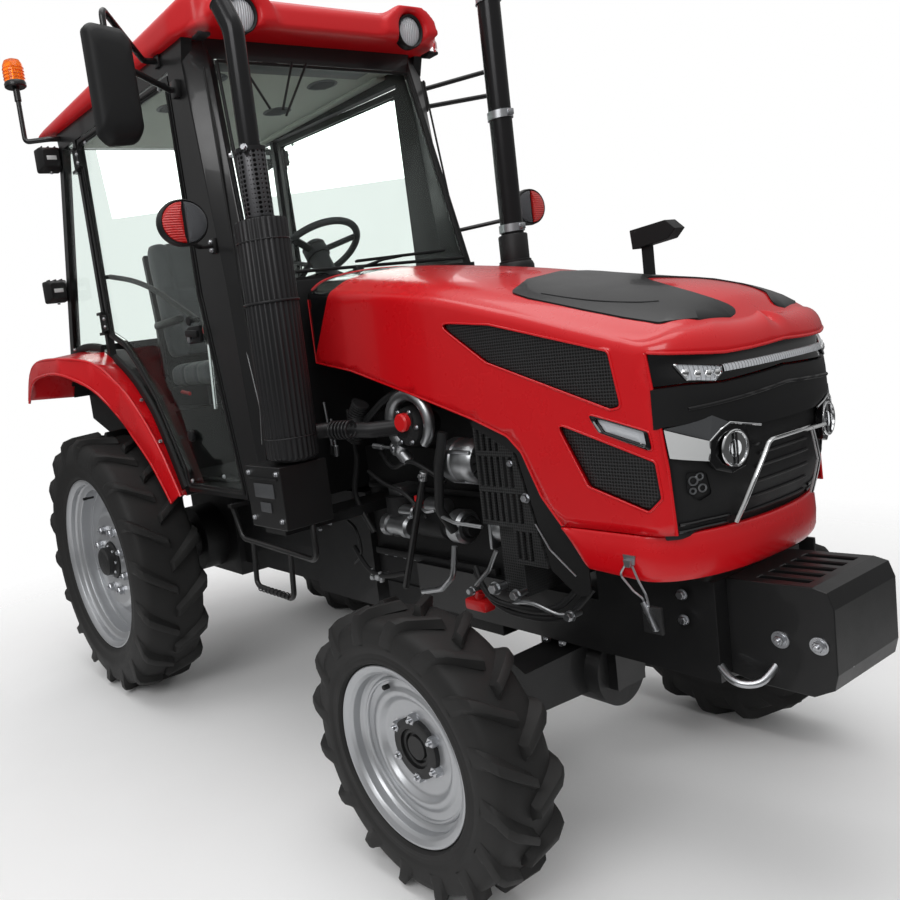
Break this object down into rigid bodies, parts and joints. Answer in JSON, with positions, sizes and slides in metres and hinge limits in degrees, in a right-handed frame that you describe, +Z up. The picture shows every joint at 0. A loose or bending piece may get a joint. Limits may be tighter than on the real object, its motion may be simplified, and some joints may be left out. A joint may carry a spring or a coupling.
{
  "type": "farm tractor",
  "caption": "Compact four-wheel-drive farm tractor with glazed cab, tilting hood, lugged tyres, steered front axle and rear three-point linkage.",
  "frame": {"origin": "on the ground, in the middle of the tractor's length and width", "axes": "+X forward, +Y to the driver's left, +Z up"},
  "size_m": [3.435, 1.713, 2.7779],
  "materials": {
    "body_paint": "gloss red paint",
    "roof_skin": "gloss red moulding",
    "cab_paint": "satin black paint",
    "cab_trim": "dark grey lining",
    "fascia": "gloss black moulding",
    "mesh": "black perforated sheet",
    "frame_paint": "satin black paint",
    "castings": "dark grey paint on castings",
    "engine_metal": "painted cast iron",
    "fitting_metal": "cast aluminium",
    "exhaust_metal": "heat-proof grey paint",
    "plastic": "matt black moulding",
    "seat_cover": "black vinyl",
    "wheel_paint": "silver paint",
    "tread": "black rubber",
    "window": "clear glass",
    "lamp_glass": "lamp lens over a reflector",
    "signal_lens": "orange-red lens in a black shell",
    "bright_steel": "machined steel"
  },
  "bodies": {
    "chassis": {"gearbox": "castings", "engine": "engine_metal", "engine_fittings": "fitting_metal", "front_frame": "frame_paint", "radiator": "frame_paint", "front_axle": "frame_paint", "rear_axle": "castings", "weight_bracket": "frame_paint", "side_box": "plastic", "exhaust": "exhaust_metal", "intake": "plastic", "steps": "frame_paint", "cab_tub": "cab_trim", "cab_frame": "cab_paint", "roof": "roof_skin", "cab_glass": "window", "fenders": "body_paint", "seat": "seat_cover", "dash": "plastic", "turn_signals": "signal_lens", "work_lamps": "lamp_glass", "mirrors": "plastic", "pto_shaft": "bright_steel", "drawbar": "frame_paint"},
    "steering_wheel": {"steering_wheel": "plastic"},
    "door_left": {"door_left": "cab_paint", "door_glass_left": "window"},
    "door_right": {"door_right": "cab_paint", "door_glass_right": "window"},
    "hood": {"hood": "body_paint", "hood_nose": "fascia", "hood_vents": "mesh", "headlights": "lamp_glass", "hood_mirror": "plastic"},
    "lift_arms": {"lift_arms": "castings"},
    "lift_rods": {"lift_rods": "bright_steel"},
    "lower_links": {"lower_links": "castings"},
    "knuckle_left": {"knuckle_left": "frame_paint"},
    "knuckle_right": {"knuckle_right": "frame_paint"},
    "tie_rod": {"tie_rod": "bright_steel"},
    "front_wheel_left": {"front_rim_left": "wheel_paint", "front_tyre_left": "tread"},
    "front_wheel_right": {"front_rim_right": "wheel_paint", "front_tyre_right": "tread"},
    "rear_wheel_left": {"rear_rim_left": "wheel_paint", "rear_tyre_left": "tread"},
    "rear_wheel_right": {"rear_rim_right": "wheel_paint", "rear_tyre_right": "tread"}
  },
  "joints": [
    {"name": "rear_wheel_left_spin", "type": "hinge", "parent": "chassis", "child": "rear_wheel_left", "pos_m": [-1.0175, 0.615, 0.565], "axis": [0, 1, 0], "continuous": true},
    {"name": "rear_wheel_right_spin", "type": "hinge", "parent": "chassis", "child": "rear_wheel_right", "pos_m": [-1.0175, -0.615, 0.565], "axis": [0, 1, 0], "continuous": true},
    {"name": "steer_left", "type": "hinge", "parent": "chassis", "child": "knuckle_left", "pos_m": [0.9895, 0.47, 0.365], "axis": [0, 0, 1], "range_deg": [-38, 38]},
    {"name": "steer_right", "type": "hinge", "parent": "chassis", "child": "knuckle_right", "pos_m": [0.9895, -0.47, 0.365], "axis": [0, 0, 1], "range_deg": [-38, 38]},
    {"name": "tie_rod_turn", "type": "hinge", "parent": "knuckle_left", "child": "tie_rod", "pos_m": [0.8245, 0.47, 0.26], "axis": [0, 0, 1], "range_deg": [-38, 38]},
    {"name": "front_wheel_left_spin", "type": "hinge", "parent": "knuckle_left", "child": "front_wheel_left", "pos_m": [0.9895, 0.645, 0.365], "axis": [0, 1, 0], "continuous": true},
    {"name": "front_wheel_right_spin", "type": "hinge", "parent": "knuckle_right", "child": "front_wheel_right", "pos_m": [0.9895, -0.645, 0.365], "axis": [0, 1, 0], "continuous": true},
    {"name": "steering_wheel_turn", "type": "hinge", "parent": "chassis", "child": "steering_wheel", "pos_m": [-0.0875, 0, 1.7], "axis": [-0.5241, 0, 0.8517], "range_deg": [-575, 575]},
    {"name": "door_left_swing", "type": "hinge", "parent": "chassis", "child": "door_left", "pos_m": [-1.0035, 0.529, 1.6], "axis": [0, 0, 1], "range_deg": [0, 70]},
    {"name": "door_right_swing", "type": "hinge", "parent": "chassis", "child": "door_right", "pos_m": [-1.0035, -0.529, 1.6], "axis": [0, 0, -1], "range_deg": [0, 70]},
    {"name": "hood_lift", "type": "hinge", "parent": "chassis", "child": "hood", "pos_m": [0.3045, 0, 1.54], "axis": [0, -1, 0], "range_deg": [0, 55]},
    {"name": "linkage_lift", "type": "hinge", "parent": "chassis", "child": "lower_links", "pos_m": [-1.1475, 0, 0.42], "axis": [0, 1, 0], "range_deg": [-12, 35]},
    {"name": "lift_arm_turn", "type": "hinge", "parent": "chassis", "child": "lift_arms", "pos_m": [-1.1675, 0, 0.838], "axis": [0, 1, 0], "range_deg": [-13, 37.6]},
    {"name": "lift_rod_turn", "type": "hinge", "parent": "lift_arms", "child": "lift_rods", "pos_m": [-1.4475, 0, 0.838], "axis": [0, 1, 0], "range_deg": [-37.6, 13]}
  ],
  "couplings": [
    {"joint": "steer_right", "follows": "steer_left", "ratio": 1},
    {"joint": "tie_rod_turn", "follows": "steer_left", "ratio": -1},
    {"joint": "steering_wheel_turn", "follows": "steer_left", "ratio": 15},
    {"joint": "lift_arm_turn", "follows": "linkage_lift", "ratio": 1.07},
    {"joint": "lift_rod_turn", "follows": "linkage_lift", "ratio": -1.07}
  ]
}
